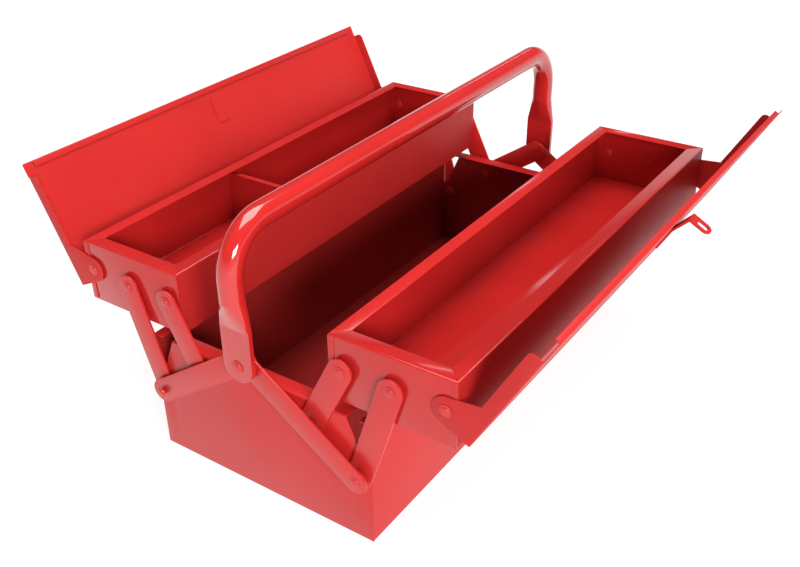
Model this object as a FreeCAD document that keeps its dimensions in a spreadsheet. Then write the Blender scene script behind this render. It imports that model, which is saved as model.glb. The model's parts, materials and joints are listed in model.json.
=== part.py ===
"""Carpenter's cantilever toolbox: a base box, two trays on swinging arms, two hinged lids and a bail handle.

Frame: origin at the centre of the base's underside, +Z up, X along the box, +Y to the back tray.
The box is drawn open: both trays swung out on their arms and both lids standing up.
"left" is the -X end and "right" the +X end; "front" is the -Y side and "back" the +Y side.
"""
import FreeCAD, Part
import math
import os
import Sketcher

doc = FreeCAD.newDocument("carpenter_toolbox")

# Driving dimensions in millimetres, or degrees where the name says so.
DIMENSIONS = [
    ("base_length", 416.0), ("base_width", 200.0), ("base_height", 103.0),
    ("sheet", 0.8), ("base_hem", 10.0), ("base_rim", 12.0), ("weld_tab", 10.0),
    ("corner_cut_top", 80.0), ("corner_cut_mid", 86.0), ("corner_cut_mid_height", 88.0),
    ("corner_cut_foot", 94.0), ("corner_cut_foot_height", 65.5),
    ("tray_length", 413.0), ("tray_width", 96.5), ("tray_height", 50.2), ("tray_rim", 11.0),
    ("tray_inner_y", 66.5), ("tray_floor_z", 112.8),
    ("divider_x", -47.0), ("divider_drop", 6.0), ("divider_hem", 5.0),
    ("inner_foot_y", 51.0), ("inner_foot_z", 86.0), ("outer_foot_y", 91.0), ("outer_foot_z", 57.0),
    ("inner_head_y", 77.5), ("outer_head_y", 116.5), ("arm_head_z", 139.0),
    ("arm_width", 19.0), ("arm_thickness", 2.0), ("arm_x", 208.6),
    ("play_inwards", 1.9), ("play_outwards", 2.7), ("play_sideways", 0.2),
    ("pivot_radius", 2.6), ("running_clearance", 0.05), ("head_radius", 4.4),
    ("head_height", 1.1), ("head_gap", 0.3), ("washer_radius", 6.5), ("apex_z", 120.0),
    ("strut_width", 19.0), ("strut_thickness", 1.8), ("strut_x", 212.6), ("spacer_radius", 6.8),
    ("handle_x", 220.5), ("handle_bar_z", 220.5), ("handle_radius", 9.0), ("handle_wall", 1.2),
    ("handle_bend", 34.0), ("flat_width", 25.5), ("flat_thickness", 4.0), ("flat_top_z", 150.0),
    ("round_start_z", 172.0), ("handle_washer_gap", 0.3),
    ("handle_head_radius", 5.0), ("handle_head_height", 1.3),
    ("lid_length", 416.0), ("lid_width", 100.7), ("lid_pivot_y", 155.5), ("lid_pivot_z", 140.5),
    ("lid_heel", 10.0), ("lid_standoff", 24.1), ("lid_flange", 9.0), ("lid_flange_length", 90.0),
    ("flange_corner", 4.0), ("flange_corner_near", 0.6), ("flange_corner_far", 1.8),
    ("front_lean_deg", 28.8), ("back_lean_deg", 25.5),
    ("front_lip", 3.4), ("back_hem", 5.0), ("edge_relief", 9.0),
    ("ear_reach", 22.0), ("ear_radius", 10.0),
    ("ear_shoulder_y", 8.0), ("ear_shoulder_z", 6.0), ("ear_cheek", 5.0),
    ("bracket_width", 10.5), ("bracket_foot_start", 60.0), ("bracket_foot_end", 78.0),
    ("bracket_stand", 94.0), ("bracket_thickness", 1.6), ("bracket_rise", 4.2), ("bracket_height", 21.0),
    ("slot_width", 5.4), ("slot_length", 9.0), ("slot_height", 14.2),
    ("plate_middle_x", -3.5), ("plate_width", 15.0), ("plate_low", 67.5), ("plate_high", 90.0),
]

sheet_page = doc.addObject("Spreadsheet::Sheet", "sizes")
for row, (alias, number) in enumerate(DIMENSIONS, start=1):
    sheet_page.set("A%d" % row, alias.replace("_", " "))
    sheet_page.set("B%d" % row, str(number))
    sheet_page.setAlias("B%d" % row, alias)
doc.recompute()


class Size:
    """A number together with the spreadsheet expression that gives it."""

    def __init__(self, value, text):
        self.value = float(value)
        self.text = text

    def __add__(self, other):
        other = as_size(other)
        return Size(self.value + other.value, "(%s + %s)" % (self.text, other.text))

    def __sub__(self, other):
        other = as_size(other)
        return Size(self.value - other.value, "(%s - %s)" % (self.text, other.text))

    def __mul__(self, factor):
        factor = as_size(factor)
        return Size(self.value * factor.value, "(%s * %s)" % (self.text, factor.text))

    def __truediv__(self, factor):
        factor = as_size(factor)
        return Size(self.value / factor.value, "(%s / %s)" % (self.text, factor.text))

    def __neg__(self):
        return self * -1.0

    __radd__ = __add__
    __rmul__ = __mul__


def as_size(number):
    """Wrap a plain number so that it can stand in an expression."""
    if isinstance(number, Size):
        return number
    return Size(number, "(%r)" % float(number))


def hypotenuse(across, up):
    return Size(math.hypot(across.value, up.value), "hypot(%s; %s)" % (across.text, up.text))


def size(alias):
    """The spreadsheet cell of this alias, as a number and as an expression."""
    return Size(sheet_page.get(alias), "sizes." + alias)


SHEET = size("sheet")
BASE_HALF = size("base_length") / 2
SIDE_Y = size("base_width") / 2
BASE_TOP = size("base_height")
TRAY_HALF = size("tray_length") / 2
TRAY_OUTER_Y = size("tray_inner_y") + size("tray_width")
TRAY_TOP = size("tray_floor_z") + size("tray_height")
ARM_OUTER_X = size("arm_x") + size("arm_thickness")
STRUT_MIDDLE_X = size("strut_x") + size("strut_thickness")
STRUT_OUTER_X = STRUT_MIDDLE_X + size("strut_thickness")
HANDLE_INNER_X = size("handle_x") - size("flat_thickness") / 2
HANDLE_OUTER_X = size("handle_x") + size("flat_thickness") / 2
HOLE_RADIUS = size("pivot_radius") + size("running_clearance")
ENDS = {"left": -1.0, "right": 1.0}
SIDES = {"front": -1.0, "back": 1.0}
KINDS = ("inner", "outer")
AXES = {"x": FreeCAD.Vector(1, 0, 0), "z": FreeCAD.Vector(0, 0, 1)}
PARTS = []


# ---------------------------------------------------------------- building blocks

def bind(feature, name, amount):
    """Tie a property of a feature to the spreadsheet."""
    feature.setExpression(name, as_size(amount).text)


def keep(feature, label):
    """Name a finished sub-part and put it on the list to write."""
    feature.Label = label
    PARTS.append(feature)
    return feature


def new_body(label):
    body = doc.addObject("PartDesign::Body", label)
    return keep(body, label)


def sketch_on(body, role, start):
    """A sketch on one of the body's own origin planes, moved along the plane's normal."""
    sketch = body.newObject("Sketcher::SketchObject", "outline")
    plane = next(item for item in body.Origin.OriginFeatures if item.Role == role)
    sketch.AttachmentSupport = (plane, "")
    sketch.MapMode = "FlatFace"
    bind(sketch, "AttachmentOffset.Base.z", start)
    return sketch


def pin_point(sketch, geometry, vertex, across, up):
    """Fix one vertex of a sketch by its two signed distances from the origin."""
    for kind, amount in (("DistanceX", across), ("DistanceY", up)):
        amount = as_size(amount)
        index = sketch.addConstraint(Sketcher.Constraint(kind, -1, 1, geometry, vertex, amount.value))
        bind(sketch, "Constraints[%d]" % index, amount)


def set_radius(sketch, geometry, radius):
    index = sketch.addConstraint(Sketcher.Constraint("Radius", geometry, as_size(radius).value))
    bind(sketch, "Constraints[%d]" % index, radius)


def draw_polygon(sketch, corners):
    """A closed outline of straight lines through the given corners."""
    points = [FreeCAD.Vector(as_size(x).value, as_size(y).value, 0) for x, y in corners]
    lines = [Part.LineSegment(start, end) for start, end in zip(points, points[1:] + points[:1])]
    first = sketch.addGeometry(lines, False)[0]
    count = len(corners)
    for offset in range(count):
        following = first + (offset + 1) % count
        sketch.addConstraint(Sketcher.Constraint("Coincident", first + offset, 2, following, 1))
        pin_point(sketch, first + offset, 1, *corners[offset])


def draw_circle(sketch, x, y, radius):
    centre = FreeCAD.Vector(as_size(x).value, as_size(y).value, 0)
    circle = Part.Circle(centre, FreeCAD.Vector(0, 0, 1), as_size(radius).value)
    index = sketch.addGeometry(circle, False)
    pin_point(sketch, index, 3, x, y)
    set_radius(sketch, index, radius)


def draw_strap(sketch, start, end, radius):
    """A flat bar's outline: two half circles joined by tangent lines."""
    first = FreeCAD.Vector(as_size(start[0]).value, as_size(start[1]).value, 0)
    second = FreeCAD.Vector(as_size(end[0]).value, as_size(end[1]).value, 0)
    reach = second - first
    heading = math.atan2(reach.y, reach.x)
    quarter = math.pi / 2
    normal = FreeCAD.Vector(0, 0, 1)
    side = FreeCAD.Vector(-math.sin(heading), math.cos(heading), 0) * as_size(radius).value
    tail_ring = Part.Circle(first, normal, side.Length)
    nose_ring = Part.Circle(second, normal, side.Length)
    rounds = [Part.ArcOfCircle(tail_ring, heading + quarter, heading + 3 * quarter),
              Part.ArcOfCircle(nose_ring, heading - quarter, heading + quarter)]
    edges = [Part.LineSegment(first - side, second - side), Part.LineSegment(second + side, first + side)]
    tail, nose = sketch.addGeometry(rounds, False)
    lower, upper = sketch.addGeometry(edges, False)
    for one, one_end, other, other_end in ((tail, 2, lower, 1), (lower, 2, nose, 1),
                                           (nose, 2, upper, 1), (upper, 2, tail, 1)):
        sketch.addConstraint(Sketcher.Constraint("Tangent", one, one_end, other, other_end))
    pin_point(sketch, tail, 3, *start)
    pin_point(sketch, nose, 3, *end)
    set_radius(sketch, tail, radius)


def pad(body, sketch, length):
    feature = body.newObject("PartDesign::Pad", "pad")
    feature.Profile = sketch
    bind(feature, "Length", length)
    doc.recompute()
    return feature


def pad_polygon(body, role, corners, start, length, holes=()):
    """Pad a polygon from start along the plane's normal; each hole is (x, y, radius)."""
    sketch = sketch_on(body, role, start)
    draw_polygon(sketch, corners)
    for hole in holes:
        draw_circle(sketch, *hole)
    return pad(body, sketch, length)


def rectangle(low, high):
    """The four corners of a rectangle between two opposite corners."""
    return [(low[0], low[1]), (high[0], low[1]), (high[0], high[1]), (low[0], high[1])]


def drill(body, role, holes, start, depth):
    """Cut round holes from start against the plane's normal, and make sure that they cut."""
    sketch = sketch_on(body, role, start)
    for hole in holes:
        draw_circle(sketch, *hole)
    return pocket(body, sketch, depth)


def pocket(body, sketch, depth):
    before = body.Shape.Volume
    feature = body.newObject("PartDesign::Pocket", "pocket")
    feature.Profile = sketch
    bind(feature, "Length", depth)
    doc.recompute()
    if body.Shape.Volume >= before:
        raise RuntimeError("a pocket of %s cut nothing" % body.Label)
    return feature


def layer_start(end, inner, outer):
    """Where a plate between two distances from the middle starts along +X, at this end."""
    return inner if end > 0 else -outer


def add_cylinder(start, y, z, radius, length):
    """A round bar along +X from start."""
    bar = doc.addObject("Part::Cylinder", "bar")
    bind(bar, "Radius", radius)
    bind(bar, "Height", length)
    bar.Placement = FreeCAD.Placement(FreeCAD.Vector(), FreeCAD.Rotation(AXES["z"], AXES["x"]))
    for axis, amount in (("x", start), ("y", y), ("z", z)):
        bind(bar, "Placement.Base." + axis, amount)
    return bar


def add_dome(face, y, z, radius, height, heading):
    """A rivet head: a low dome on the plane x = face, bulging towards the heading's sign."""
    ball = (radius * radius + height * height) / (height * 2)
    dome = doc.addObject("Part::Sphere", "dome")
    bind(dome, "Radius", ball)
    dome.Angle1 = math.degrees(math.asin((ball.value - height.value) / ball.value))
    dome.Placement = FreeCAD.Placement(FreeCAD.Vector(), FreeCAD.Rotation(AXES["z"], AXES["x"] * heading))
    for name, amount in (("x", face - (ball - height) * heading), ("y", y), ("z", z)):
        bind(dome, "Placement.Base." + name, amount)
    return dome


def fuse(pieces):
    union = doc.addObject("Part::MultiFuse", "union")
    union.Shapes = pieces
    return union


def add_rivet(end, y, z, inner, outer, shank, head_radius, head_height):
    """A rivet along X whose two heads sit on the planes at the inner and outer distances."""
    start = layer_start(end, inner, outer)
    shaft = add_cylinder(start, y, z, shank, outer - inner)
    heads = [add_dome(outer * end, y, z, head_radius, head_height, end),
             add_dome(inner * end, y, z, head_radius, head_height, -end)]
    return fuse([shaft] + heads)


def add_washer(end, y, z, inner, outer, radius, hole):
    start = layer_start(end, inner, outer)
    ring = doc.addObject("Part::Cut", "ring")
    ring.Base = add_cylinder(start, y, z, radius, outer - inner)
    ring.Tool = add_cylinder(start, y, z, hole, outer - inner)
    return ring


def group(label, pieces):
    """One node holding several identical, separate solids."""
    compound = doc.addObject("Part::Compound", label)
    compound.Links = pieces
    return keep(compound, label)


# ---------------------------------------------------------------- base

def channel(low_y, high_y, floor, top, hem):
    """Section of a folded tray: floor, two walls and a hem turned inwards along each wall."""
    return [(low_y, floor), (high_y, floor), (high_y, top), (high_y - hem, top),
            (high_y - hem, top - SHEET), (high_y - SHEET, top - SHEET),
            (high_y - SHEET, floor + SHEET), (low_y + SHEET, floor + SHEET),
            (low_y + SHEET, top - SHEET), (low_y + hem, top - SHEET), (low_y + hem, top), (low_y, top)]


def make_base_shell():
    body = new_body("base_shell")
    length = size("base_length") - SHEET * 2
    corners = channel(-SIDE_Y, SIDE_Y, as_size(0.0), BASE_TOP, size("base_hem"))
    pad_polygon(body, "YZ_Plane", corners, SHEET - BASE_HALF, length)


def base_end_outline():
    """The end panel, cut back at its two top corners."""
    right = [(SIDE_Y, as_size(0.0)), (SIDE_Y, size("corner_cut_foot_height")),
             (size("corner_cut_foot"), size("corner_cut_foot_height")),
             (size("corner_cut_mid"), size("corner_cut_mid_height")), (size("corner_cut_top"), BASE_TOP)]
    left = [(-y, z) for y, z in reversed(right)]
    return right + left


def arm_foot(kind, side):
    """Lower pivot of an arm; the outer arm's is also the foot of the strut in front of it."""
    return size(kind + "_foot_y") * side, size(kind + "_foot_z")


def arm_head(kind, side):
    """Upper pivot of an arm, on the tray's end."""
    return size(kind + "_head_y") * side, size("arm_head_z")


def add_weld_tabs(body, end, face, low_y, high_y, floor, top):
    """Side and floor tabs of an end panel, folded inwards against the shell."""
    tab = size("weld_tab")
    start_x = layer_start(end, face - tab, face)
    span_x = (start_x, start_x + tab)
    height = top - floor - SHEET * 4
    for low in (low_y + SHEET, high_y - SHEET * 2):
        corners = rectangle((span_x[0], low), (span_x[1], low + SHEET))
        pad_polygon(body, "XY_Plane", corners, floor + SHEET, height)
    corners = rectangle((span_x[0], low_y + tab), (span_x[1], high_y - tab))
    pad_polygon(body, "XY_Plane", corners, floor + SHEET, SHEET)


def make_base_end(name, end):
    body = new_body("base_end_" + name)
    inner = BASE_HALF - SHEET
    rivets = [(*arm_foot(kind, side), size("pivot_radius")) for kind in KINDS for side in SIDES.values()]
    pad_polygon(body, "YZ_Plane", base_end_outline(), layer_start(end, inner, BASE_HALF), SHEET, rivets)
    half_rim = size("corner_cut_top")
    rim_start = layer_start(end, BASE_HALF - size("base_rim"), BASE_HALF)
    rim = rectangle((rim_start, -half_rim), (rim_start + size("base_rim"), half_rim))
    pad_polygon(body, "XY_Plane", rim, BASE_TOP - SHEET, SHEET)
    add_weld_tabs(body, end, inner, -SIDE_Y, SIDE_Y, as_size(0.0), size("corner_cut_foot_height"))


def make_strut(side_name, side, end_name, end):
    """One leg of the inverted V that carries the handle."""
    body = new_body("%s_strut_%s" % (side_name, end_name))
    inner = size("strut_x") if side > 0 else STRUT_MIDDLE_X
    start = layer_start(end, inner, inner + size("strut_thickness"))
    foot = arm_foot("outer", side)
    apex = (as_size(0.0), size("apex_z"))
    sketch = sketch_on(body, "YZ_Plane", start)
    draw_strap(sketch, foot, apex, size("strut_width") / 2)
    draw_circle(sketch, *foot, size("pivot_radius"))
    draw_circle(sketch, *apex, size("pivot_radius"))
    pad(body, sketch, size("strut_thickness"))


def make_base_fasteners():
    """Lower pivots: short rivets for the inner arms, long ones through the outer arms and the struts."""
    shank, washer = size("pivot_radius"), size("washer_radius")
    head, height, gap = size("head_radius"), size("head_height"), size("head_gap")
    spacers, strut_rivets, arm_rivets, washers = [], [], [], []
    inside = BASE_HALF - SHEET
    for end in ENDS.values():
        for side in SIDES.values():
            strut = size("strut_x") if side > 0 else STRUT_MIDDLE_X
            strut_face = strut + size("strut_thickness")
            outer, inner = arm_foot("outer", side), arm_foot("inner", side)
            spacers.append(add_washer(end, *outer, ARM_OUTER_X + gap, strut, size("spacer_radius"), shank))
            strut_rivets.append(add_rivet(end, *outer, inside, strut_face, shank, head, height))
            arm_rivets.append(add_rivet(end, *inner, inside, ARM_OUTER_X + gap, shank, head, height))
            for foot in (outer, inner):
                washers.append(add_washer(end, *foot, BASE_HALF, size("arm_x") - gap, washer, shank))
    group("strut_spacers", spacers)
    group("strut_rivets", strut_rivets)
    group("inner_arm_rivets", arm_rivets)
    group("base_arm_washers", washers)


# ---------------------------------------------------------------- handle

def make_handle_fasteners():
    rivets, washers = [], []
    shank = size("pivot_radius")
    centre = (as_size(0.0), size("apex_z"))
    gap, washer = size("handle_washer_gap"), size("washer_radius")
    head, height = size("handle_head_radius"), size("handle_head_height")
    for end in ENDS.values():
        washers.append(add_washer(end, *centre, STRUT_OUTER_X, HANDLE_INNER_X - gap, washer, shank))
        rivets.append(add_rivet(end, *centre, size("strut_x"), HANDLE_OUTER_X + gap, shank, head, height))
    group("handle_rivets", rivets)
    group("handle_washers", washers)


def tube_path(leg_x, low_z, bar_z, bend):
    """Centre line of the handle's round tube: two legs, two bends and the bar."""
    corner = math.sqrt(0.5) * bend
    legs = [FreeCAD.Vector(leg_x * end, 0, bar_z - bend) for end in (-1, 1)]
    bar = [FreeCAD.Vector((leg_x - bend) * end, 0, bar_z) for end in (-1, 1)]
    middle = [FreeCAD.Vector((leg_x - bend + corner) * end, 0, bar_z - bend + corner) for end in (-1, 1)]
    feet = [FreeCAD.Vector(leg_x * end, 0, low_z) for end in (-1, 1)]
    edges = [Part.makeLine(feet[0], legs[0]), Part.Arc(legs[0], middle[0], bar[0]).toShape(),
             Part.makeLine(bar[0], bar[1]), Part.Arc(bar[1], middle[1], legs[1]).toShape(),
             Part.makeLine(legs[1], feet[1])]
    return Part.Wire(edges)


def sweep_round(path, start, radius):
    ring = Part.Wire(Part.makeCircle(radius, start, FreeCAD.Vector(0, 0, 1)))
    return path.makePipeShell([ring], True, True)


def flattened_end(leg_x):
    """Where the tube is squashed: a flat blade with a round foot, and the transition up to the round."""
    half_width = size("flat_width").value / 2
    thickness = size("flat_thickness").value
    low, high, apex = size("flat_top_z").value, size("round_start_z").value, size("apex_z").value
    back_face = leg_x - thickness / 2
    along = FreeCAD.Vector(1, 0, 0)
    blade = Part.makeBox(thickness, half_width * 2, low - apex, FreeCAD.Vector(back_face, -half_width, apex))
    foot = Part.makeCylinder(half_width, thickness, FreeCAD.Vector(back_face, 0, apex), along)
    corners = [(thickness / 2, -half_width), (thickness / 2, half_width),
               (-thickness / 2, half_width), (-thickness / 2, -half_width)]
    flat = Part.makePolygon([FreeCAD.Vector(leg_x + x, y, low) for x, y in corners + corners[:1]])
    radius = size("handle_radius").value
    ring = Part.Circle(FreeCAD.Vector(leg_x, 0, high), FreeCAD.Vector(0, 0, 1), radius)
    quarter = math.pi / 2
    starts = [(step - 0.5) * quarter for step in range(4)]
    arcs = [Part.ArcOfCircle(ring, start, start + quarter).toShape() for start in starts]
    transition = Part.makeLoft([flat, Part.Wire(arcs)], True, True)
    hole_start = FreeCAD.Vector(leg_x - thickness, 0, apex)
    hole = Part.makeCylinder(HOLE_RADIUS.value, thickness * 2, hole_start, along)
    return blade.fuse([foot, transition]).cut(hole)


def make_handle_tube():
    leg_x, bar_z = size("handle_x").value, size("handle_bar_z").value
    low, bend = size("round_start_z").value, size("handle_bend").value
    outer = size("handle_radius").value
    path = tube_path(leg_x, low, bar_z, bend)
    start = FreeCAD.Vector(-leg_x, 0, low)
    tube = sweep_round(path, start, outer).cut(sweep_round(path, start, outer - size("handle_wall").value))
    shape = tube.fuse([flattened_end(-leg_x), flattened_end(leg_x)]).removeSplitter()
    feature = doc.addObject("Part::Feature", "handle_tube")
    feature.Shape = shape.Solids[0] if len(shape.Solids) == 1 else shape
    feature.Placement = FreeCAD.Placement()
    keep(feature, "handle_tube")


# ---------------------------------------------------------------- arms

def make_arm(side_name, side, kind, end_name, end):
    """One of the flat bars that carry a tray, from its foot on the base to its head on the tray."""
    body = new_body("%s_%s_arm_%s" % (side_name, kind, end_name))
    foot, head = arm_foot(kind, side), arm_head(kind, side)
    sketch = sketch_on(body, "YZ_Plane", layer_start(end, size("arm_x"), ARM_OUTER_X))
    draw_strap(sketch, foot, head, size("arm_width") / 2)
    draw_circle(sketch, *head, HOLE_RADIUS)
    if kind == "inner":
        draw_circle(sketch, *foot, HOLE_RADIUS)
    else:
        draw_play_slot(sketch, foot, head)
    pad(body, sketch, size("arm_thickness"))


def draw_play_slot(sketch, foot, head):
    """The outer arm's lower hole is a short slot, as the two arms of a side aren't quite parallel."""
    across, up = head[0] - foot[0], head[1] - foot[1]
    reach = hypotenuse(across, up)
    near, far = size("play_inwards") / reach, size("play_outwards") / reach
    draw_strap(sketch, (foot[0] - across * far, foot[1] - up * far),
               (foot[0] + across * near, foot[1] + up * near), HOLE_RADIUS + size("play_sideways"))


# ---------------------------------------------------------------- trays

def tray_span(side):
    """Lower and higher Y of this side's tray."""
    if side > 0:
        return size("tray_inner_y"), TRAY_OUTER_Y
    return -TRAY_OUTER_Y, -size("tray_inner_y")


def make_tray_shell(side_name, side):
    body = new_body(side_name + "_tray_shell")
    low, high = tray_span(side)
    half = TRAY_HALF - SHEET
    corners = channel(low, high, size("tray_floor_z"), TRAY_TOP, size("tray_rim"))
    pad_polygon(body, "YZ_Plane", corners, -half, half * 2)
    sketch = sketch_on(body, "XY_Plane", TRAY_TOP)
    reach = size("tray_rim")
    for end in ENDS.values():
        outer_x = TRAY_HALF * end
        for edge, inward in ((low, 1.0), (high, -1.0)):
            near, far = edge + SHEET * inward, edge + (reach + SHEET) * inward
            draw_polygon(sketch, [(outer_x, near), (outer_x, far), ((TRAY_HALF - reach - SHEET) * end, far),
                                  ((TRAY_HALF - SHEET) * end, near)])
    pocket(body, sketch, SHEET)


def tray_pivots(side):
    """The two arm pivots on a tray's end, and the lid's."""
    return [arm_head(kind, side) for kind in KINDS], (size("lid_pivot_y") * side, size("lid_pivot_z"))


def make_tray_end(side_name, side, end_name, end):
    body = new_body("%s_tray_end_%s" % (side_name, end_name))
    low, high = tray_span(side)
    inner = TRAY_HALF - SHEET
    arm_heads, lid_pivot = tray_pivots(side)
    holes = [(y, z, size("pivot_radius")) for y, z in arm_heads + [lid_pivot]]
    floor = size("tray_floor_z")
    pad_polygon(body, "YZ_Plane", rectangle((low, floor), (high, TRAY_TOP)),
                layer_start(end, inner, TRAY_HALF), SHEET, holes)
    reach = size("tray_rim")
    mitre = TRAY_HALF - reach
    rim = [(TRAY_HALF * end, low + SHEET), (TRAY_HALF * end, high - SHEET), (inner * end, high - SHEET),
           (mitre * end, high - reach), (mitre * end, low + reach), (inner * end, low + SHEET)]
    pad_polygon(body, "XY_Plane", rim, TRAY_TOP - SHEET, SHEET)
    add_weld_tabs(body, end, inner, low, high, floor, TRAY_TOP)


def make_divider():
    """A cross wall that splits the back tray in two, with its top edge folded over."""
    body = new_body("back_tray_divider")
    low, high = tray_span(1.0)
    x, floor = size("divider_x"), size("tray_floor_z") + SHEET
    top = TRAY_TOP - size("divider_drop")
    inside = (low + SHEET, high - SHEET)
    pad_polygon(body, "YZ_Plane", rectangle((inside[0], floor), (inside[1], top)), x, SHEET)
    hem = rectangle((x, inside[0]), (x + size("divider_hem"), inside[1]))
    pad_polygon(body, "XY_Plane", hem, top - SHEET, SHEET)
    for edge in (inside[0], inside[1] - SHEET):
        tab = rectangle((x, edge), (x + size("weld_tab"), edge + SHEET))
        pad_polygon(body, "XY_Plane", tab, floor, top - floor)


def make_tray_fasteners(side_name, side):
    shank = size("pivot_radius")
    arm_heads, lid_pivot = tray_pivots(side)
    inside = TRAY_HALF - SHEET
    gap, height = size("head_gap"), size("head_height")
    head, washer = size("head_radius"), size("washer_radius")
    lid_face = size("lid_length") / 2 + gap
    rivets, washers, lid_rivets = [], [], []
    for end in ENDS.values():
        for y, z in arm_heads:
            washers.append(add_washer(end, y, z, TRAY_HALF, size("arm_x") - gap, washer, shank))
            rivets.append(add_rivet(end, y, z, inside, ARM_OUTER_X + gap, shank, head, height))
        lid_rivets.append(add_rivet(end, *lid_pivot, inside, lid_face, shank, head, height))
    group(side_name + "_tray_arm_rivets", rivets)
    group(side_name + "_tray_arm_washers", washers)
    group(side_name + "_lid_rivets", lid_rivets)


# ---------------------------------------------------------------- lids
# A lid is drawn about its hinge axis: local Y runs from the heel to the free edge, local -Z is its outside.

def lid_placement(side_name):
    """From a lid's own frame to its standing position; the front one is also turned about Z."""
    tilt = FreeCAD.Rotation(AXES["x"], 90 - size(side_name + "_lean_deg").value)
    place = FreeCAD.Placement(FreeCAD.Vector(0, size("lid_pivot_y").value, size("lid_pivot_z").value), tilt)
    if SIDES[side_name] > 0:
        return place
    return FreeCAD.Placement(FreeCAD.Vector(), FreeCAD.Rotation(AXES["z"], 180)) * place


def along_lid(distance):
    """Local Y of a point this far from the lid's heel."""
    return as_size(distance) - size("lid_heel")


def flange_outline():
    """A lid's folded end: a long flange with a rounded corner, widening into the hinge ear."""
    inside = -size("lid_standoff")
    outside, top = inside - SHEET, inside + size("lid_flange")
    end = along_lid(size("lid_flange_length"))
    corner, near, far = size("flange_corner"), size("flange_corner_near"), size("flange_corner_far")
    return [(along_lid(0.0), outside), (end, outside), (end, top - corner), (end - near, top - far),
            (end - far, top - near), (end - corner, top), (size("ear_reach"), top),
            (size("ear_shoulder_y"), size("ear_shoulder_z")), (-size("ear_cheek"), size("ear_cheek")),
            (along_lid(0.0), as_size(0.0))]


def make_lid(side_name):
    body = new_body(side_name + "_lid")
    half = size("lid_length") / 2
    outside = -size("lid_standoff") - SHEET
    free_edge = along_lid(size("lid_width"))
    pad_polygon(body, "XY_Plane", rectangle((-half, along_lid(0.0)), (half, free_edge)), outside, SHEET)
    stiffen_free_edge(body, side_name, half - size("edge_relief"), free_edge, outside)
    for end in ENDS.values():
        start = layer_start(end, half - SHEET, half)
        pad_polygon(body, "YZ_Plane", flange_outline(), start, SHEET)
        sketch = sketch_on(body, "YZ_Plane", start)
        draw_circle(sketch, as_size(0.0), as_size(0.0), size("ear_radius"))
        pad(body, sketch, SHEET)
        drill(body, "YZ_Plane", [(as_size(0.0), as_size(0.0), HOLE_RADIUS)], start + SHEET, SHEET)
    body.Placement = lid_placement(side_name)


def stiffen_free_edge(body, side_name, half, free_edge, outside):
    """The front lid's edge has an upright lip; the back lid's is folded flat on its inside."""
    if side_name == "front":
        strip, height = SHEET, size("front_lip") + SHEET
    else:
        strip, height = size("back_hem"), SHEET * 2
    pad_polygon(body, "XY_Plane", rectangle((-half, free_edge - strip), (half, free_edge)), outside, height)


def bracket_profile():
    """Side view of the lock bracket: foot on the lid, a short ramp and the standing eye."""
    face = -size("lid_standoff") - SHEET
    thick = size("bracket_thickness")
    foot = along_lid(size("bracket_foot_start"))
    ramp = along_lid(size("bracket_foot_end"))
    stand = along_lid(size("bracket_stand"))
    rise = face - size("bracket_rise")
    shoulder = face - size("bracket_height") + size("bracket_width") / 2
    return [(foot, face), (ramp, face), (stand, rise), (stand, shoulder), (stand - thick, shoulder),
            (stand - thick, rise - thick), (ramp, face - thick), (foot, face - thick)]


def make_lock_bracket(side_name):
    """A strap bent up into a standing eye with a round top and a slot for the padlock."""
    body = new_body(side_name + "_lock_bracket")
    half, thick = size("bracket_width") / 2, size("bracket_thickness")
    profile = bracket_profile()
    pad_polygon(body, "YZ_Plane", profile, -half, half * 2)
    stand, shoulder = profile[3]
    top = sketch_on(body, "XZ_Plane", -stand)
    draw_circle(top, as_size(0.0), shoulder, half)
    pad(body, top, thick)
    slot = sketch_on(body, "XZ_Plane", thick * 2 - stand)
    reach = (size("slot_length") - size("slot_width")) / 2
    level = profile[0][1] - size("slot_height")
    draw_strap(slot, (as_size(0.0), level - reach), (as_size(0.0), level + reach), size("slot_width") / 2)
    pocket(body, slot, thick * 3)
    body.Placement = lid_placement(side_name)


def make_lock_plate(side_name):
    """A small doubling plate inside the lid, behind the lock bracket."""
    body = new_body(side_name + "_lock_plate")
    middle, half = size("plate_middle_x"), size("plate_width") / 2
    low, high = along_lid(size("plate_low")), along_lid(size("plate_high"))
    outline = rectangle((middle - half, low), (middle + half, high))
    pad_polygon(body, "XY_Plane", outline, -size("lid_standoff"), SHEET)
    body.Placement = lid_placement(side_name)


# ---------------------------------------------------------------- assembly

def build():
    make_base_shell()
    make_base_fasteners()
    make_handle_fasteners()
    make_handle_tube()
    for end_name, end in ENDS.items():
        make_base_end(end_name, end)
    for side_name, side in SIDES.items():
        for end_name, end in ENDS.items():
            make_strut(side_name, side, end_name, end)
            make_tray_end(side_name, side, end_name, end)
            for kind in KINDS:
                make_arm(side_name, side, kind, end_name, end)
        make_tray_shell(side_name, side)
        make_tray_fasteners(side_name, side)
        make_lid(side_name)
        make_lock_bracket(side_name)
        make_lock_plate(side_name)
    make_divider()


def check_and_write():
    """Write each sub-part to its own file, once every object has rebuilt cleanly."""
    doc.recompute()
    for item in doc.Objects:
        if "Invalid" in item.State or "Error" in item.State:
            raise RuntimeError("%s did not rebuild: %s" % (item.Label, item.State))
    for item in PARTS:
        if item.Shape.isNull() or not item.Shape.isValid():
            raise RuntimeError("%s has no valid shape" % item.Label)
    os.makedirs("parts", exist_ok=True)
    for item in PARTS:
        item.Shape.exportStep("parts/%s.step" % item.Label)
        print("%-26s solids %2d  volume %10.1f" % (item.Label, len(item.Shape.Solids), item.Shape.Volume))


build()
check_and_write()
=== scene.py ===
"""Looks of the carpenter's toolbox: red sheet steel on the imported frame, with light and camera."""
import json
import math

import bmesh
import bpy
from mathutils import Matrix, Vector


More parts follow.
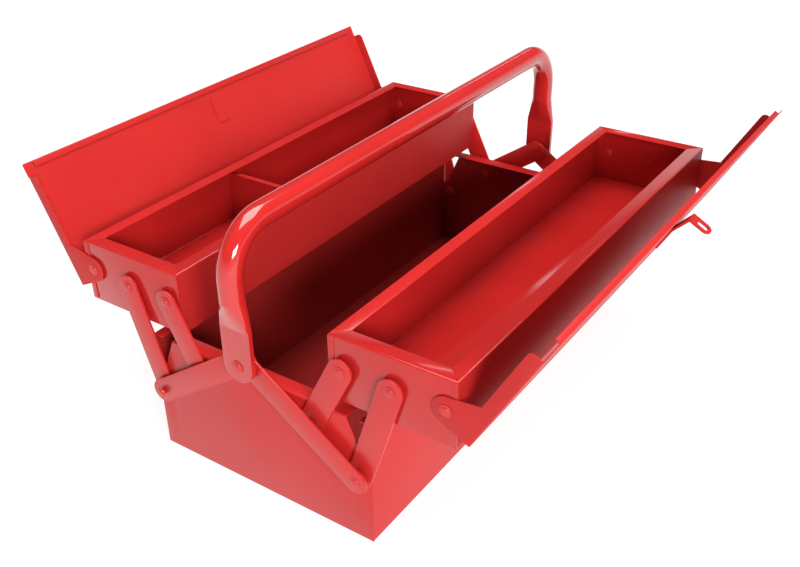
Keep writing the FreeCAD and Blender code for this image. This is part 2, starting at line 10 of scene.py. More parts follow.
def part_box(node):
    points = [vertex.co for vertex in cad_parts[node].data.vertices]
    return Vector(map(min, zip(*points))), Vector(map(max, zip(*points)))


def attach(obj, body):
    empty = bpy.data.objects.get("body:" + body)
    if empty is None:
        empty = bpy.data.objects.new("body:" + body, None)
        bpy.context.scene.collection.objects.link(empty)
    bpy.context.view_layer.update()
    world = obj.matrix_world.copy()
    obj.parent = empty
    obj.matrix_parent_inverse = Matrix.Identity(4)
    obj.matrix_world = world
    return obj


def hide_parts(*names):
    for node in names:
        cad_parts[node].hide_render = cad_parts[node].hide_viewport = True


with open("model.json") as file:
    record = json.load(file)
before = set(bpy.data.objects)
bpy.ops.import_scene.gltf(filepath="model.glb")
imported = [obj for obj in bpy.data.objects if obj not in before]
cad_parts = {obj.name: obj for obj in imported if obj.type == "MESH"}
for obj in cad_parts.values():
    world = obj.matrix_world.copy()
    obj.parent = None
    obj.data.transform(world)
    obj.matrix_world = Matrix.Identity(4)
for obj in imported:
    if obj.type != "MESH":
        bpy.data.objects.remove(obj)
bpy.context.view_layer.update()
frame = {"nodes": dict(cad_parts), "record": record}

# Lengths are in metres and angles in degrees. "left" is the -X end and "front" the -Y side, as in
# the frame.
ENDS = {"left": -1.0, "right": 1.0}
SIDES = {"front": -1.0, "back": 1.0}
SHEET = 0.0008

# How pieces are folded and finished.
FOLD = 0.0013
FOLD_STEPS = 5
CUT_EDGE = 0.00018
EDGE_SEGMENTS = 2
EDGE_ANGLE = 50.0
CREASE_ANGLE = 38.0
SAME_POINT = 0.000002
NEARLY_ALIGNED = 0.9


# ---------------------------------------------------------------- materials

# Noise as scale and detail.
DRIFT_NOISE = (9.0, 3.0)
GLOSS_NOISE = (60.0, 6.0)
BUCKLING_NOISE = (14.0, 1.0)
PEEL_NOISE = (420.0, 2.0)
NOISE_ROUGHNESS = 0.55
NOISE_RANGE = (0.3, 0.7)

LIGHT_TINT = (0.018, 0.016)
DARK_TINT = (0.014, 0.013)
DARK_RED_SHARE = 0.9
GLOSS_SPREAD = 0.05
COAT_ROUGHNESS = 0.05
PEEL_DEPTH = 0.000004
PEEL_STRENGTH = 0.3


def add_node(tree, kind, **settings):
    node = tree.nodes.new(kind)
    for name, value in settings.items():
        setattr(node, name, value)
    return node


def noise(tree, scale, detail):
    """Noise over the object's own coordinates, so that it stays on the part when it moves."""
    coords = add_node(tree, "ShaderNodeTexCoord")
    texture = add_node(tree, "ShaderNodeTexNoise")
    texture.inputs["Scale"].default_value = scale
    texture.inputs["Detail"].default_value = detail
    texture.inputs["Roughness"].default_value = NOISE_ROUGHNESS
    tree.links.new(coords.outputs["Object"], texture.inputs["Vector"])
    return texture.outputs["Fac"]


def remap(tree, value, low, high):
    """Spread a noise value over a new range."""
    node = add_node(tree, "ShaderNodeMapRange")
    limits = {"From Min": NOISE_RANGE[0], "From Max": NOISE_RANGE[1], "To Min": low, "To Max": high}
    for name, number in limits.items():
        node.inputs[name].default_value = number
    tree.links.new(value, node.inputs["Value"])
    return node.outputs["Result"]


def enamel(name, red, gloss, waviness, shine=0.40, coat=0.15):
    """Baked enamel over sheet steel: buckling, orange peel, uneven gloss and faint colour drift.

    gloss is the lowest roughness, waviness the depth of the buckling, shine the specular level.
    """
    material = bpy.data.materials.new(name)
    material.use_nodes = True
    tree = material.node_tree
    shader = tree.nodes["Principled BSDF"]
    tone = add_node(tree, "ShaderNodeMix", data_type="RGBA")
    tone.inputs["A"].default_value = (red, *LIGHT_TINT, 1.0)
    tone.inputs["B"].default_value = (red * DARK_RED_SHARE, *DARK_TINT, 1.0)
    tree.links.new(remap(tree, noise(tree, *DRIFT_NOISE), 0.0, 1.0), tone.inputs["Factor"])
    tree.links.new(tone.outputs["Result"], shader.inputs["Base Color"])
    uneven = remap(tree, noise(tree, *GLOSS_NOISE), gloss, gloss + GLOSS_SPREAD)
    tree.links.new(uneven, shader.inputs["Roughness"])
    shader.inputs["Specular IOR Level"].default_value = shine
    shader.inputs["Coat Weight"].default_value = coat
    shader.inputs["Coat Roughness"].default_value = COAT_ROUGHNESS
    slow = add_node(tree, "ShaderNodeBump")
    slow.inputs["Distance"].default_value = waviness
    slow.inputs["Strength"].default_value = 1.0
    tree.links.new(noise(tree, *BUCKLING_NOISE), slow.inputs["Height"])
    peel = add_node(tree, "ShaderNodeBump")
    peel.inputs["Distance"].default_value = PEEL_DEPTH
    peel.inputs["Strength"].default_value = PEEL_STRENGTH
    tree.links.new(noise(tree, *PEEL_NOISE), peel.inputs["Height"])
    tree.links.new(slow.outputs["Normal"], peel.inputs["Normal"])
    tree.links.new(peel.outputs["Normal"], shader.inputs["Normal"])
    return material


# Red, gloss and waviness. With a gloss of 0.26 on the box, arms and rivets, small dots showed on
# flat walls in renders.
MATERIALS = {
    "red_enamel_box": enamel("box_enamel", 0.52, 0.28, 0.0006, shine=0.28, coat=0.08),
    "red_enamel_trays": enamel("tray_enamel", 0.48, 0.10, 0.0002, shine=0.38, coat=0.08),
    "red_enamel_lids": enamel("lid_enamel", 0.48, 0.45, 0.0006, shine=0.25, coat=0.0),
    "red_enamel_arms": enamel("arm_enamel", 0.52, 0.28, 0.0002),
    "red_enamel_handle": enamel("handle_enamel", 0.50, 0.08, 0.0001, shine=0.5, coat=0.6),
    "red_enamel_rivets": enamel("rivet_enamel", 0.52, 0.28, 0.0001),
}
# Painted shade: a darker red for the faces inside the base, standing in for the shade that falls
# there.
INSIDE_PAINTED_SHADE = enamel("base_inside_painted_shade", 0.30, 0.30, 0.0006, shine=0.24, coat=0.0)
# Partly painted shade: a satin finish for the trays' outer walls, with a darker red standing in for
# the shadow they lie in under the lids.
WALL_SATIN_AND_SHADE = enamel("tray_wall_satin_and_shade", 0.40, 0.48, 0.0003, shine=0.12, coat=0.0)


# ---------------------------------------------------------------- mesh helpers

def rounded(points, radius):
    """The polyline with each of its corners turned into an arc."""
    points = [Vector(point) for point in points]
    line = [points[0]]
    for before, corner, after in zip(points, points[1:], points[2:]):
        back, ahead = (before - corner).normalized(), (after - corner).normalized()
        half = back.angle(ahead) / 2
        centre = corner + (back + ahead).normalized() * (radius / math.sin(half))
        start = corner + back * (radius / math.tan(half)) - centre
        end = corner + ahead * (radius / math.tan(half)) - centre
        line += [centre + start.lerp(end, step / FOLD_STEPS).normalized() * radius
                 for step in range(FOLD_STEPS + 1)]
    return line + [points[-1]]


def trough_section(low, high, rim):
    """Y and Z across a folded trough: its floor, two walls and the rim turned in on each."""
    return rounded([(low[1] + rim, high[2]), (low[1], high[2]), (low[1], low[2]),
                    (high[1], low[2]), (high[1], high[2]), (high[1] - rim, high[2])], FOLD)


def add_grid(vertices, faces, rows):
    """Add a sheet given as rows of equally many points."""
    first, width = len(vertices), len(rows[0])
    vertices += [tuple(point) for row in rows for point in row]
    for row in range(len(rows) - 1):
        for column in range(width - 1):
            corner = first + row * width + column
            faces.append((corner, corner + 1, corner + width + 1, corner + width))


def add_prism(vertices, faces, outline, low, high):
    """Add a plate between two X planes from its outline in Y and Z."""
    first, count = len(vertices), len(outline)
    vertices += [(low, y, z) for y, z in outline] + [(high, y, z) for y, z in outline]
    faces.append(tuple(range(first, first + count)))
    faces.append(tuple(range(first + 2 * count - 1, first + count - 1, -1)))
    for step in range(count):
        following = (step + 1) % count
        faces.append((first + step, first + count + step,
                      first + count + following, first + following))


def make_piece(name, vertices, faces, slot, body, *nodes):
    """A new object that stands for some of the frame's nodes and rides with their body."""
    mesh = bpy.data.meshes.new(name)
    mesh.from_pydata(vertices, [], faces)
    work = bmesh.new()
    work.from_mesh(mesh)
    bmesh.ops.remove_doubles(work, verts=work.verts, dist=SAME_POINT)
    bmesh.ops.recalc_face_normals(work, faces=work.faces)
    work.to_mesh(mesh)
    work.free()
    piece = bpy.data.objects.new(name, mesh)
    bpy.context.scene.collection.objects.link(piece)
    mesh.materials.append(MATERIALS[slot])
    if nodes:
        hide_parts(*nodes)
    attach(piece, body)
    return piece


def thicken(piece, middle):
    """Give a one-sided sheet its thickness, towards the point that it is folded round."""
    mesh = piece.data
    widest = max(mesh.polygons, key=lambda face: face.area)
    if widest.normal.dot(widest.center - Vector(middle)) < 0:
        mesh.flip_normals()
    solid = piece.modifiers.new("thickness", "SOLIDIFY")
    solid.thickness = SHEET
    solid.offset = -1.0


def add_bevel(piece, width, angle):
    bevel = piece.modifiers.new("edges", "BEVEL")
    bevel.width = width
    bevel.segments = EDGE_SEGMENTS
    bevel.limit_method = "ANGLE"
    bevel.angle_limit = math.radians(angle)


def finish_edges(piece, width, crease=CREASE_ANGLE):
    """Round the cut edges, keep the result as plain mesh and shade it smooth up to the crease."""
    add_bevel(piece, width, EDGE_ANGLE)
    graph = bpy.context.evaluated_depsgraph_get()
    mesh = bpy.data.meshes.new_from_object(piece.evaluated_get(graph))
    piece.modifiers.clear()
    piece.data = mesh
    mesh.polygons.foreach_set("use_smooth", [True] * len(mesh.polygons))
    mesh.set_sharp_from_angle(angle=math.radians(crease))


# ---------------------------------------------------------------- base

BASE_RIM = 0.012
BASE_HEM = 0.010
BASE_MIDDLE = (0.0, 0.0, 0.05)
PANEL_TOP_HALF = 0.080
PANEL_SHOULDER = (0.086, 0.088)
PANEL_CORNER = (0.094, 0.0655)


def paint_inside_shade(piece):
    """Painted shade: darker enamel on the faces that look into the base, apart from the rims' level
    tops, standing in for the shade inside the box.
    """
    mesh = piece.data
    mesh.materials.append(INSIDE_PAINTED_SHADE)
    for face in mesh.polygons:
        inward = face.normal.dot(Vector(BASE_MIDDLE) - face.center) > 0
        level = face.normal.z > NEARLY_ALIGNED and face.center.z > BASE_MIDDLE[2]
        if inward and not level:
            face.material_index = 1


def make_base_wrap():
    """Floor and long walls of the base in one folded sheet, with a hem along each wall."""
    low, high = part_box("base_shell")
    vertices, faces = [], []
    add_grid(vertices, faces, [[(low[0], y, z), (high[0], y, z)]
                               for y, z in trough_section(low, high, BASE_HEM)])
    piece = make_piece("base_wrap", vertices, faces, "red_enamel_box", "base", "base_shell")
    thicken(piece, BASE_MIDDLE)
    finish_edges(piece, CUT_EDGE)
    paint_inside_shade(piece)


def base_end_tops():
    """Half of the end panel's upper edge: distance from the middle and height."""
    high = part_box("base_end_left")[1]
    return [(0.0, high[2]), (PANEL_TOP_HALF, high[2]), PANEL_SHOULDER, PANEL_CORNER,
            (high[1], PANEL_CORNER[1])]


def make_base_panel(name, end):
    """End panel of the base with its cut corners and the rim folded in along the top."""
    tops = base_end_tops()
    stations = [(-y, z) for y, z in reversed(tops)] + tops[1:]
    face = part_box("base_end_right")[1][0] * end
    top = tops[0][1]
    vertices, faces = [], []
    add_grid(vertices, faces, [[(face, y, 0.0), (face, y, min(z, top - FOLD))]
                               for y, z in stations])
    fold = rounded([(face, 0.0), (face, top), (face - BASE_RIM * end, top)], FOLD)[1:]
    add_grid(vertices, faces, [[(x, -PANEL_TOP_HALF, z), (x, 0.0, z), (x, PANEL_TOP_HALF, z)]
                               for x, z in fold])
    piece = make_piece("base_panel_" + name, vertices, faces, "red_enamel_box", "base",
                       "base_end_" + name)
    thicken(piece, BASE_MIDDLE)
    finish_edges(piece, CUT_EDGE)
    paint_inside_shade(piece)


# ---------------------------------------------------------------- straps and rivets

STRAP_RADIUS = 0.0095
STRAP_EDGE = 0.00035
STRAP_STEPS = 24

# A rivet's brim radius, button radius and height.
SMALL_RIVET = (0.0044, 0.0028, 0.0011)
LARGE_RIVET = (0.0050, 0.0034, 0.0013)
SHANK_RADIUS = 0.0026
RIVET_SIDES = 32
HEAD_STEPS = 7
BRIM_HEIGHT = 0.00022
BRIM_SIDE_SHARE = 0.6
BRIM_TOP_SHARE = 0.96
BUTTON_FOOT_SHARE = 1.06
RIVET_EDGE = BRIM_HEIGHT / 8
RIVET_CREASE = 50.0


def strap_centres(node, outward):
    """Lower and upper hole of a strap; outward is 1 where its upper end has the higher Y."""
    low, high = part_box(node)
    near, far = low[1] + STRAP_RADIUS, high[1] - STRAP_RADIUS
    bottom, top = low[2] + STRAP_RADIUS, high[2] - STRAP_RADIUS
    return ((near, bottom), (far, top)) if outward > 0 else ((far, bottom), (near, top))


def make_strap(name, node, body, outward):
    """A flat bar with round ends and softly rolled edges."""
    foot, head = [Vector(place) for place in strap_centres(node, outward)]
    low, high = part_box(node)
    heading = math.atan2(head.y - foot.y, head.x - foot.x)
    outline = []
    for centre, start in ((foot, heading + math.pi / 2), (head, heading - math.pi / 2)):
        for step in range(STRAP_STEPS + 1):
            angle = start + math.pi * step / STRAP_STEPS
            outline.append((centre.x + STRAP_RADIUS * math.cos(angle),
                            centre.y + STRAP_RADIUS * math.sin(angle)))
    vertices, faces = [], []
    add_prism(vertices, faces, outline, low[0], high[0])
    piece = make_piece(name, vertices, faces, "red_enamel_arms", body, node)
    finish_edges(piece, STRAP_EDGE)


def head_profile(size):
    """Pairs of radius and height from a rivet head's thin brim to the top of its low button."""
    brim, radius, height = size
    rise = height - BRIM_HEIGHT
    profile = [(brim, 0.0), (brim, BRIM_HEIGHT * BRIM_SIDE_SHARE),
               (brim * BRIM_TOP_SHARE, BRIM_HEIGHT), (radius * BUTTON_FOOT_SHARE, BRIM_HEIGHT)]
    for step in range(HEAD_STEPS):
        angle = math.pi / 2 * step / HEAD_STEPS
        profile.append((radius * math.cos(angle), BRIM_HEIGHT + rise * math.sin(angle)))
    return profile


def add_rivet(vertices, faces, place, planes, size):
    """A whole rivet turned about X: a head outside each of two planes and a shank between."""
    head = head_profile(size)
    low, high = sorted(planes)
    section = [(reach, low - lift) for reach, lift in reversed(head)]
    section += [(SHANK_RADIUS, low), (SHANK_RADIUS, high)]
    section += [(reach, high + lift) for reach, lift in head]
    first = len(vertices)
    for reach, x in section:
        for step in range(RIVET_SIDES):
            angle = 2 * math.pi * step / RIVET_SIDES
            vertices.append((x, place[0] + reach * math.cos(angle),
                             place[1] + reach * math.sin(angle)))
    for ring in range(len(section) - 1):
        start = first + ring * RIVET_SIDES
        for step in range(RIVET_SIDES):
            following = (step + 1) % RIVET_SIDES
            faces.append((start + step, start + following, start + RIVET_SIDES + following,
                          start + RIVET_SIDES + step))
    last = first + (len(section) - 1) * RIVET_SIDES
    for start, tip in ((first, low - size[2]), (last, high + size[2])):
        vertices.append((tip, place[0], place[1]))
        for step in range(RIVET_SIDES):
            faces.append((start + step, start + (step + 1) % RIVET_SIDES, len(vertices) - 1))


def make_rivets(name, node, body, centres, inside, size):
    """The rivets of a group, at each end of the box."""
    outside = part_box(node)[1][0] - size[2]
    vertices, faces = [], []
    for end in ENDS.values():
        for centre in centres:
            add_rivet(vertices, faces, centre, (inside * end, outside * end), size)
    piece = make_piece(name, vertices, faces, "red_enamel_rivets", body, node)
    finish_edges(piece, RIVET_EDGE, RIVET_CREASE)


# ---------------------------------------------------------------- trays

TRAY_RIM = 0.011
SEAM_TAB = 0.005
SEAM_PROUD = 0.0003
WALL_FACE_DEPTH = SHEET / 4


def tray_middle(low, high):
    return (0.0, (low[1] + high[1]) / 2, (low[2] + high[2]) / 2)


def satin_and_shade_outer_walls(piece, low_y, high_y):
    """Satin enamel on the outsides of a tray's long walls, its red darkened as painted shade for the
    shadow these walls lie in under the lids.
    """
    mesh = piece.data
    mesh.materials.append(WALL_SATIN_AND_SHADE)
    for face in mesh.polygons:
        upright = abs(face.normal.y) > NEARLY_ALIGNED
        outside = min(face.center.y - low_y, high_y - face.center.y) < WALL_FACE_DEPTH
        if upright and outside:
            face.material_index = 1


def make_tray_wrap(side_name):
    """Floor and long walls of a tray in one folded sheet, with mitred rims."""
    low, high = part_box(side_name + "_tray_shell")
    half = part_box(side_name + "_tray_end_right")[1][0]
    vertices, faces, rows = [], [], []
    for y, z in trough_section(low, high, TRAY_RIM):
        inward = min(y - low[1], high[1] - y) if z > high[2] - FOLD else 0.0
        reach = min(half - SHEET, half - inward)
        rows.append([(-reach, y, z), (reach, y, z)])
    add_grid(vertices, faces, rows)
    piece = make_piece(side_name + "_tray_wrap", vertices, faces, "red_enamel_trays",
                       side_name + "_tray", side_name + "_tray_shell")
    thicken(piece, tray_middle(low, high))
    finish_edges(piece, CUT_EDGE)
    satin_and_shade_outer_walls(piece, low[1], high[1])


def make_tray_panel(side_name, end_name):
    """End of a tray, folded over at the top into a rim that meets the long rims at 45 degrees."""
    end = ENDS[end_name]
    node = "%s_tray_end_%s" % (side_name, end_name)
    low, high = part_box(node)
    face = (high if end > 0 else low)[0]
    fold = rounded([(face, low[2]), (face, high[2]), (face - TRAY_RIM * end, high[2])], FOLD)
    vertices, faces, rows = [], [], []
    for x, z in fold:
        inward = abs(face - x) if z > high[2] - FOLD else 0.0
        rows.append([(x, low[1] + inward, z), (x, high[1] - inward, z)])
    add_grid(vertices, faces, rows)
    piece = make_piece("%s_tray_panel_%s" % (side_name, end_name), vertices, faces,
                       "red_enamel_trays", side_name + "_tray", node)
    thicken(piece, tray_middle(low, high))
    finish_edges(piece, CUT_EDGE)
    make_seam_tabs(side_name, end_name, face)


def make_seam_tabs(side_name, end_name, face):
    """The long walls' narrow tabs, lapped over the panel at its two upright edges."""
    low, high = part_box("%s_tray_end_%s" % (side_name, end_name))
    vertices, faces = [], []
    start = min(face, face + SEAM_PROUD * ENDS[end_name])
    bottom, top = low[2] + FOLD, high[2] - FOLD
    for near, far in ((low[1], low[1] + SEAM_TAB), (high[1] - SEAM_TAB, high[1])):
        add_prism(vertices, faces, [(near, bottom), (far, bottom), (far, top), (near, top)],
                  start, start + SEAM_PROUD)
    piece = make_piece("%s_seam_tabs_%s" % (side_name, end_name), vertices, faces,
                       "red_enamel_trays", side_name + "_tray")
    finish_edges(piece, SEAM_PROUD / 3)


# ---------------------------------------------------------------- lids

# A lid's own axes: along the hinge, from the hinge towards the free edge, and height inwards.
LID_HALF = 0.208
LID_EDGE = 0.0907
LID_OUTSIDE = -0.0249
FLANGE_TOP = -0.0151
FLANGE_END = 0.080
FLANGE_CORNER = 0.004
EAR_RADIUS = 0.010
EAR_SHOULDER = (0.008, 0.006)
EAR_REACH = 0.022
EAR_STEPS = 16
CLIP_STEPS = 6
EDGE_RELIEF = 0.009
EDGE_FOLD_START = 0.0867
SHEAR_GAP = 0.0003
FRONT_LIP = 0.0034
BACK_HEM = 0.005
HEM_LEVEL = SHEET * 2.3
HEM_FOLD = SHEET * 1.1
LID_INNER_POINT = (0.0, 0.04, 0.0)


def lid_frame(side_name):
    """From a lid's own axes to the frame."""
    joint = next(item for item in frame["record"]["behaviour"]["joints"]
                 if item["name"] == side_name + "_lid_hinge")
    tilt = math.radians(180 - max(joint["range_deg"]))
    turn = Matrix.Rotation(0.0 if SIDES[side_name] > 0 else math.pi, 4, "Z")
    pivot = Vector((0.0, abs(joint["pos_m"][1]), joint["pos_m"][2]))
    return turn @ Matrix.Translation(pivot) @ Matrix.Rotation(tilt, 4, "X")


def flange_tops():
    """Height of a lid's end flange along the lid, from the ear's round to the clipped corner."""
    shoulder = math.acos(EAR_SHOULDER[0] / EAR_RADIUS)
    tops = [(EAR_RADIUS * math.cos(angle), EAR_RADIUS * math.sin(angle))
            for angle in (math.pi + (shoulder - math.pi) * step / EAR_STEPS
                          for step in range(EAR_STEPS + 1))]
    tops += [(EAR_REACH, FLANGE_TOP), (FLANGE_END - FLANGE_CORNER, FLANGE_TOP)]
    for step in range(1, CLIP_STEPS + 1):
        angle = math.pi / 2 * step / CLIP_STEPS
        tops.append((FLANGE_END - FLANGE_CORNER * (1 - math.sin(angle)),
                     FLANGE_TOP - FLANGE_CORNER * (1 - math.cos(angle))))
    return tops


def lid_edge_section(side_name):
    """Section of the free edge: an upright lip at the front, a hem folded flat at the back."""
    start, corner = (EDGE_FOLD_START, LID_OUTSIDE), (LID_EDGE, LID_OUTSIDE)
    if side_name == "front":
        return rounded([start, corner, (LID_EDGE, LID_OUTSIDE + SHEET + FRONT_LIP)], FOLD)
    level = LID_OUTSIDE + HEM_LEVEL
    return rounded([start, corner, (LID_EDGE, level), (LID_EDGE - BACK_HEM, level)], HEM_FOLD)


def make_lid(side_name):
    """A lid folded from one sheet: the plate, two end flanges with hinge ears and the free edge."""
    place = lid_frame(side_name)
    vertices, faces, rows = [], [], []
    inner, relief = LID_HALF - FOLD, LID_HALF - EDGE_RELIEF
    cut = relief + SHEAR_GAP
    plate = [(x, LID_OUTSIDE) for x in (-cut, -relief, relief, cut)]
    for along, top in flange_tops():
        half = rounded([(-LID_HALF, top), (-LID_HALF, LID_OUTSIDE), (0.0, LID_OUTSIDE)],
                       FOLD)[:-1]
        row = half + plate + [(-x, height) for x, height in reversed(half)]
        rows.append([(x, along, height) for x, height in row])
    add_grid(vertices, faces, rows)
    across = (-LID_HALF, -inner, -cut, -relief, relief, cut, inner, LID_HALF)
    add_grid(vertices, faces, [[(x, along, LID_OUTSIDE) for x in across]
                               for along in (FLANGE_END, EDGE_FOLD_START)])
    for corner in (across[:3], across[-3:]):
        add_grid(vertices, faces, [[(x, along, LID_OUTSIDE) for x in corner]
                                   for along in (EDGE_FOLD_START, LID_EDGE)])
    add_grid(vertices, faces, [[(-relief, along, height), (relief, along, height)]
                               for along, height in lid_edge_section(side_name)])
    points = [tuple(place @ Vector(point)) for point in vertices]
    piece = make_piece(side_name + "_lid_sheet", points, faces, "red_enamel_lids",
                       side_name + "_lid", side_name + "_lid")
    thicken(piece, place @ Vector(LID_INNER_POINT))
    finish_edges(piece, CUT_EDGE)


# ---------------------------------------------------------------- handle

HANDLE_RADIUS = 0.009
HANDLE_BEND = 0.034
BLADE_HALF = (0.002, 0.01275)
BLADE_TOP = 0.150
ROUND_START = 0.172
BLADE_CENTRE = 0.120
BLADE_SHOULDER = 0.0006
BLADE_STEPS = 12
BEND_STEPS = 24
RING_POINTS = 64
TUBE_EDGE = 0.0003
TUBE_CREASE = 15.0


def squashed_ring(share, blade_half_width):
    """Pairs across and along round the tube: circular at share 0 and a flat blade at share 1."""
    ring = []
    for step in range(RING_POINTS):
        angle = 2 * math.pi * (step + 0.5) / RING_POINTS
        across, along = math.cos(angle), math.sin(angle)
        stretch = 1.0 / max(abs(across), abs(along))
        box = (across * stretch * BLADE_HALF[0], along * stretch * blade_half_width)
        ring.append((HANDLE_RADIUS * across * (1 - share) + box[0] * share,
                     HANDLE_RADIUS * along * (1 - share) + box[1] * share))
    return ring


def leg_rings(leg_x):
    """Rings of one leg from the blade's round foot up to the bend."""
    rings = []
    for step in range(1, BLADE_STEPS + 1):
        angle = -math.pi / 2 + math.pi / 2 * step / BLADE_STEPS
        height = BLADE_CENTRE + BLADE_HALF[1] * math.sin(angle)
        rings.append((height, squashed_ring(1.0, BLADE_HALF[1] * math.cos(angle))))
    for height in (BLADE_TOP - BLADE_SHOULDER, BLADE_TOP):
        rings.append((height, squashed_ring(1.0, BLADE_HALF[1])))
    for step in range(1, BLADE_STEPS + 1):
        height = BLADE_TOP + (ROUND_START - BLADE_TOP) * step / BLADE_STEPS
        rings.append((height, squashed_ring(1.0 - step / BLADE_STEPS, BLADE_HALF[1])))
    return [[Vector((leg_x + across, along, height)) for across, along in ring]
            for height, ring in rings]


def bar_rings(leg_x, top):
    """Rings round the first bend, from the left leg to the bar."""
    rings = []
    for step in range(BEND_STEPS + 1):
        angle = math.pi / 2 * step / BEND_STEPS
        centre = Vector((leg_x + HANDLE_BEND * (1 - math.cos(angle)), 0.0,
                         top - HANDLE_BEND * (1 - math.sin(angle))))
        outward = Vector((math.cos(angle), 0.0, -math.sin(angle)))
        rings.append([centre + outward * across + Vector((0.0, along, 0.0))
                      for across, along in squashed_ring(0.0, BLADE_HALF[1])])
    return rings


def make_handle():
    """The bail: one tube, bent twice and squashed flat at both ends."""
    low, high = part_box("handle_tube")
    leg_x, top = low[0] + HANDLE_RADIUS, high[2] - HANDLE_RADIUS
    left = leg_rings(leg_x) + bar_rings(leg_x, top)
    right = [[Vector((-point.x, point.y, point.z)) for point in ring] for ring in reversed(left)]
    vertices, faces = [], []
    add_grid(vertices, faces, [ring + ring[:1] for ring in left + right])
    piece = make_piece("bail_tube", vertices, faces, "red_enamel_handle", "handle",
                       "handle_tube")
    work = bmesh.new()
    work.from_mesh(piece.data)
    rims = [edge for edge in work.edges if edge.is_boundary]
    bmesh.ops.holes_fill(work, edges=rims, sides=0)
    bmesh.ops.recalc_face_normals(work, faces=work.faces)
    work.to_mesh(piece.data)
    work.free()
    finish_edges(piece, TUBE_EDGE, TUBE_CREASE)


# ---------------------------------------------------------------- frame nodes and assembly

NODE_WELD = 0.00001
NODE_EDGE_ANGLE = 40.0


def dress_frame():
    """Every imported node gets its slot's enamel and softened edges."""
    for entry in frame["record"]["subparts"]:
        node = frame["nodes"][entry["node"]]
        node.data.materials.clear()
        node.data.materials.append(MATERIALS[entry["material_slot"]])
        weld = node.modifiers.new("weld", "WELD")
        weld.merge_threshold = NODE_WELD
        add_bevel(node, CUT_EDGE, NODE_EDGE_ANGLE)


def make_side(side_name, side):
    """A tray with its arms, struts, lid and rivets; gives back its inner and outer arms' feet."""
    for end_name in ENDS:
        for kind in ("inner", "outer"):
            arm = "%s_%s_arm_%s" % (side_name, kind, end_name)
            make_strap(arm + "_bar", arm, "%s_%s_arms" % (side_name, kind), side)
        strut = "%s_strut_%s" % (side_name, end_name)
        make_strap(strut + "_bar", strut, "base", -side)
        make_tray_panel(side_name, end_name)
    make_tray_wrap(side_name)
    make_lid(side_name)
    inner, outer = [strap_centres("%s_%s_arm_right" % (side_name, kind), side)
                    for kind in ("inner", "outer")]
    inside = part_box(side_name + "_tray_end_right")[1][0] - SHEET
    body = side_name + "_tray"
    make_rivets(side_name + "_arm_buttons", side_name + "_tray_arm_rivets", body,
                [inner[1], outer[1]], inside, SMALL_RIVET)
    pivot = lid_frame(side_name).translation
    make_rivets(side_name + "_lid_buttons", side_name + "_lid_rivets", body,
                [(pivot.y, pivot.z)], inside, SMALL_RIVET)
    return inner[0], outer[0]


def make_all():
    make_base_wrap()
    for end_name, end in ENDS.items():
        make_base_panel(end_name, end)
    feet = [make_side(side_name, side) for side_name, side in SIDES.items()]
    inner_feet, outer_feet = zip(*feet)
    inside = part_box("base_end_right")[1][0] - SHEET
    make_rivets("strut_buttons", "strut_rivets", "base", outer_feet, inside, SMALL_RIVET)
    make_rivets("inner_arm_buttons", "inner_arm_rivets", "base", inner_feet, inside, SMALL_RIVET)
    apex = strap_centres("front_strut_right", 1.0)[1]
    behind_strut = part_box("front_strut_right")[0][0]
    make_rivets("bail_buttons", "handle_rivets", "base", [apex], behind_strut, LARGE_RIVET)
    make_handle()


# ---------------------------------------------------------------- studio

CAMERA_AT = (-0.6114, -0.3946, 0.5067)
CAMERA_RIGHT = (0.57854, -0.81533, -0.02314)
CAMERA_FORWARD = (0.68283, 0.49965, -0.53300)
CAMERA_LENS_MM = 44.38
SENSOR_MM = 36.0
CAMERA_SHIFT = (0.0411, 0.0341)
CAMERA_CLIP = (0.01, 50.0)

FLOOR_HALF = 12.0
FLOOR_GREY = 0.25
FLOOR_GLOW = 0.85
FLOOR_ROUGHNESS = 0.9
FLOOR_SHINE = 0.1

# Brightness of the surroundings by height, from 0.0 at the horizon to 1.0 overhead.
WORLD_ENDS = ((0.0, 0.9), (1.0, 0.25))
WORLD_BETWEEN = ((0.12, 0.55), (0.28, 0.10), (0.80, 0.14))

BOX_CENTRE = (0.0, 0.0, 0.1)
LIGHTS = (
    {"name": "key", "place": (-1.6, -1.9, 1.05), "target": BOX_CENTRE,
     "size": (0.9, 0.6), "power": 70.0},
    {"name": "overhead", "place": (0.10, -0.08, 1.65), "target": BOX_CENTRE,
     "size": (1.3, 1.3), "power": 33.0},
    {"name": "floor_strip", "place": (1.253, 0.414, 0.835), "target": (0.045, -0.11, 0.1136),
     "size": (0.28, 0.05), "power": 0.17, "colour": (1.0, 0.88, 1.0),
     "long_axis": (-0.238, 0.077, 0.101)},
)


def grey(level):
    return (level, level, level, 1.0)


def area_light(name, place, target, size, power, colour=(1.0, 1.0, 1.0), long_axis=None):
    """A softbox aimed at a point; its first side lies along long_axis if given, or else level."""
    light = bpy.data.lights.new(name, "AREA")
    light.shape = "RECTANGLE"
    light.size, light.size_y = size
    light.energy = power
    light.color = colour
    lamp = bpy.data.objects.new(name, light)
    bpy.context.scene.collection.objects.link(lamp)
    lamp.location = place
    heading = Vector(target) - Vector(place)
    if long_axis:
        along = Vector(long_axis).normalized()
        facing = -(heading - along * heading.dot(along)).normalized()
        turn = Matrix((along, facing.cross(along), facing)).transposed()
        lamp.rotation_euler = turn.to_euler()
    else:
        lamp.rotation_euler = heading.to_track_quat("-Z", "Y").to_euler()


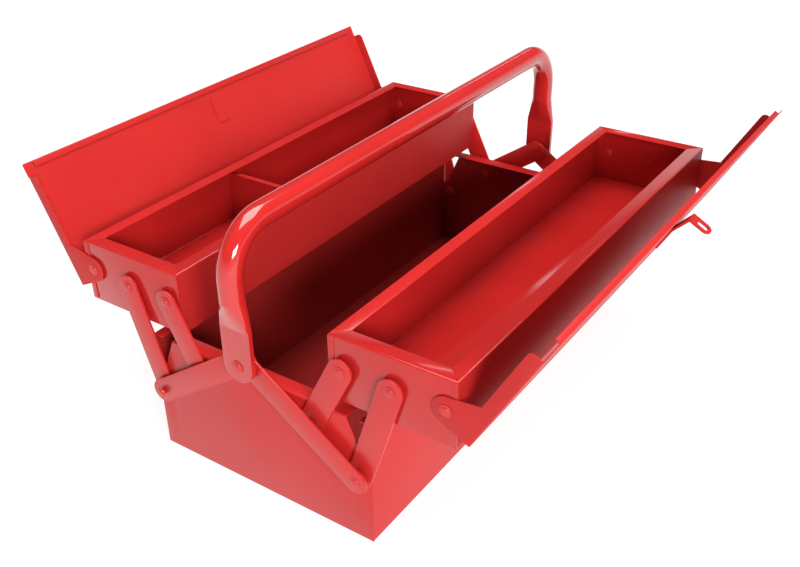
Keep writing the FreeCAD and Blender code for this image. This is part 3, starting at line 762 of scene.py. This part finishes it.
def make_world():
    """Surroundings whose brightness changes only with height."""
    world = bpy.data.worlds.new("studio")
    bpy.context.scene.world = world
    world.use_nodes = True
    tree = world.node_tree
    background = tree.nodes["Background"]
    background.inputs["Strength"].default_value = 1.0
    coords = add_node(tree, "ShaderNodeTexCoord")
    split = add_node(tree, "ShaderNodeSeparateXYZ")
    ramp = add_node(tree, "ShaderNodeValToRGB")
    tree.links.new(coords.outputs["Generated"], split.inputs["Vector"])
    tree.links.new(split.outputs["Z"], ramp.inputs["Fac"])
    tree.links.new(ramp.outputs["Color"], background.inputs["Color"])
    stops = ramp.color_ramp.elements
    for stop, (height, level) in zip(stops, WORLD_ENDS):
        stop.position, stop.color = height, grey(level)
    for height, level in WORLD_BETWEEN:
        stops.new(height).color = grey(level)


def make_floor():
    mesh = bpy.data.meshes.new("floor")
    corners = [(x * FLOOR_HALF, y * FLOOR_HALF, 0) for x, y in ((-1, -1), (1, -1), (1, 1), (-1, 1))]
    mesh.from_pydata(corners, [], [(0, 1, 2, 3)])
    floor = bpy.data.objects.new("floor", mesh)
    bpy.context.scene.collection.objects.link(floor)
    material = bpy.data.materials.new("floor_white")
    material.use_nodes = True
    shader = material.node_tree.nodes["Principled BSDF"]
    shader.inputs["Base Color"].default_value = grey(FLOOR_GREY)
    shader.inputs["Roughness"].default_value = FLOOR_ROUGHNESS
    shader.inputs["Specular IOR Level"].default_value = FLOOR_SHINE
    shader.inputs["Emission Color"].default_value = grey(1.0)
    shader.inputs["Emission Strength"].default_value = FLOOR_GLOW
    mesh.materials.append(material)


def make_camera():
    data = bpy.data.cameras.new("camera")
    data.lens = CAMERA_LENS_MM
    data.sensor_width = SENSOR_MM
    data.shift_x, data.shift_y = CAMERA_SHIFT
    data.clip_start, data.clip_end = CAMERA_CLIP
    camera = bpy.data.objects.new("camera", data)
    bpy.context.scene.collection.objects.link(camera)
    forward = Vector(CAMERA_FORWARD).normalized()
    right = Vector(CAMERA_RIGHT).normalized()
    up = right.cross(forward)
    turn = Matrix((right, up, -forward)).transposed()
    camera.matrix_world = Matrix.Translation(CAMERA_AT) @ turn.to_4x4()
    bpy.context.scene.camera = camera


def make_studio():
    make_world()
    make_floor()
    make_camera()
    for light in LIGHTS:
        area_light(**light)
    bpy.context.scene.view_settings.view_transform = "Standard"


# ---------------------------------------------------------------- build

dress_frame()
make_all()
make_studio()
